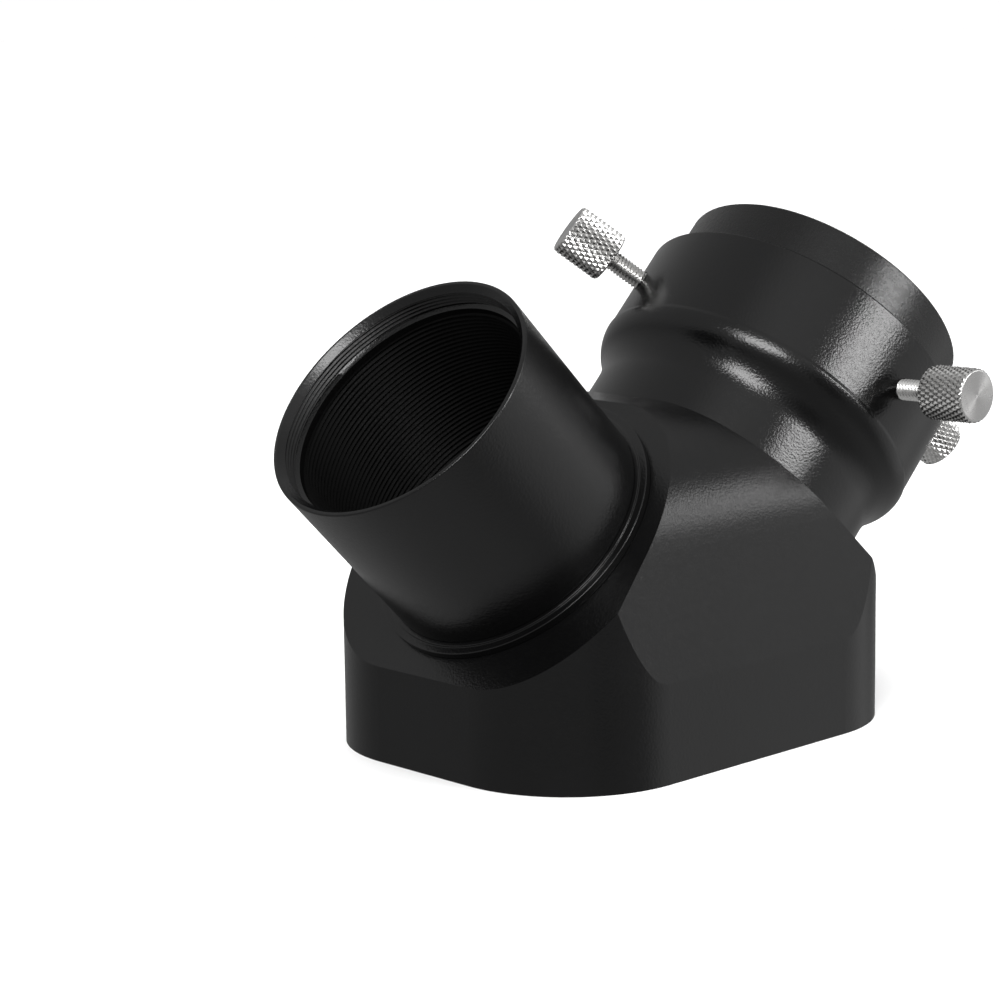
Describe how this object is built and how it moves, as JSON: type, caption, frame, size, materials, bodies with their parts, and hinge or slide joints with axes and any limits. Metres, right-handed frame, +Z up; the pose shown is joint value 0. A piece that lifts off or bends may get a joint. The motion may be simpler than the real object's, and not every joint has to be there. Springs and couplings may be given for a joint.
{
  "type": "star diagonal",
  "caption": "Mirror star diagonal that turns a telescope's light path through a right angle, with a barrel nosepiece and a thumbscrew-clamped eyepiece holder.",
  "frame": {"origin": "middle of the flat underside, on the back cover", "axes": "+X along the base towards the eyepiece side, +Z up away from the underside, nosepiece and eyepiece axes 45 degrees either side of Z"},
  "size_m": [0.1564, 0.0852, 0.0938],
  "materials": {
    "body_black": "satin black anodised",
    "nosepiece_black": "satin black anodised",
    "holder_black": "satin black anodised",
    "adapter_black": "satin black anodised",
    "cover_black": "satin black anodised",
    "screw_steel": "turned and knurled, plated",
    "ring_brass": "turned",
    "tip_brass": "turned",
    "mirror_glass": "front-surface coating, polished",
    "pad_plastic": "matte",
    "pad_rubber": "matte",
    "foam": "closed-cell foam",
    "plate_aluminium": "brushed",
    "cover_screw_steel": "black oxide"
  },
  "bodies": {
    "diagonal": {"body": "body_black", "nosepiece": "nosepiece_black", "nosepiece_ring": "nosepiece_black", "eyepiece_holder": "holder_black", "compression_ring": "ring_brass", "mirror": "mirror_glass", "mirror_front_pad_1": "pad_plastic", "mirror_front_pad_2": "pad_plastic", "mirror_front_pad_3": "pad_plastic", "mirror_front_pad_4": "pad_plastic", "mirror_edge_pad_1": "pad_rubber", "mirror_edge_pad_2": "pad_rubber", "mirror_edge_pad_3": "pad_rubber", "mirror_edge_pad_4": "pad_rubber", "pressure_plate": "plate_aluminium", "foam_pad": "foam", "back_cover": "cover_black", "cover_screws": "cover_screw_steel"},
    "adapter": {"adapter_collar": "adapter_black", "adapter_barrel": "adapter_black", "adapter_compression_ring": "ring_brass"},
    "adapter_tip": {"adapter_thumbscrew_tip": "tip_brass"},
    "adapter_screw": {"adapter_thumbscrew": "screw_steel"},
    "clamp_tip_1": {"thumbscrew_tip_1": "tip_brass"},
    "clamp_screw_1": {"thumbscrew_1": "screw_steel"},
    "clamp_tip_2": {"thumbscrew_tip_2": "tip_brass"},
    "clamp_screw_2": {"thumbscrew_2": "screw_steel"},
    "clamp_tip_3": {"thumbscrew_tip_3": "tip_brass"},
    "clamp_screw_3": {"thumbscrew_3": "screw_steel"}
  },
  "joints": [
    {"name": "adapter_lift", "type": "slide", "parent": "diagonal", "child": "adapter", "axis": [0.7071, 0, 0.7071], "range_m": [0, 0.035]},
    {"name": "clamp_screw_1_travel", "type": "slide", "parent": "diagonal", "child": "clamp_tip_1", "axis": [-0.5997, 0.5299, 0.5997], "range_m": [0, 0.0028]},
    {"name": "clamp_screw_1_turn", "type": "hinge", "parent": "clamp_tip_1", "child": "clamp_screw_1", "pos_m": [0.0449, 0, 0.0599], "axis": [-0.5997, 0.5299, 0.5997], "range_deg": [0, 1441]},
    {"name": "clamp_screw_2_travel", "type": "slide", "parent": "diagonal", "child": "clamp_tip_2", "axis": [-0.0247, -0.9994, 0.0247], "range_m": [0, 0.0028]},
    {"name": "clamp_screw_2_turn", "type": "hinge", "parent": "clamp_tip_2", "child": "clamp_screw_2", "pos_m": [0.0449, 0, 0.0599], "axis": [-0.0247, -0.9994, 0.0247], "range_deg": [0, 1441]},
    {"name": "clamp_screw_3_travel", "type": "slide", "parent": "diagonal", "child": "clamp_tip_3", "axis": [0.6243, 0.4695, -0.6243], "range_m": [0, 0.0028]},
    {"name": "clamp_screw_3_turn", "type": "hinge", "parent": "clamp_tip_3", "child": "clamp_screw_3", "pos_m": [0.0449, 0, 0.0599], "axis": [0.6243, 0.4695, -0.6243], "range_deg": [0, 1441]},
    {"name": "adapter_screw_travel", "type": "slide", "parent": "adapter", "child": "adapter_tip", "axis": [0.6797, -0.2756, -0.6797], "range_m": [0, 0.0028]},
    {"name": "adapter_screw_turn", "type": "hinge", "parent": "adapter_tip", "child": "adapter_screw", "pos_m": [0.05572, 0, 0.07072], "axis": [0.6797, -0.2756, -0.6797], "range_deg": [0, 1441]}
  ],
  "couplings": [
    {"joint": "clamp_screw_1_turn", "follows": "clamp_screw_1_travel", "rad_per_m": 8976},
    {"joint": "clamp_screw_2_turn", "follows": "clamp_screw_2_travel", "rad_per_m": 8976},
    {"joint": "clamp_screw_3_turn", "follows": "clamp_screw_3_travel", "rad_per_m": 8976},
    {"joint": "adapter_screw_turn", "follows": "adapter_screw_travel", "rad_per_m": 8976}
  ]
}
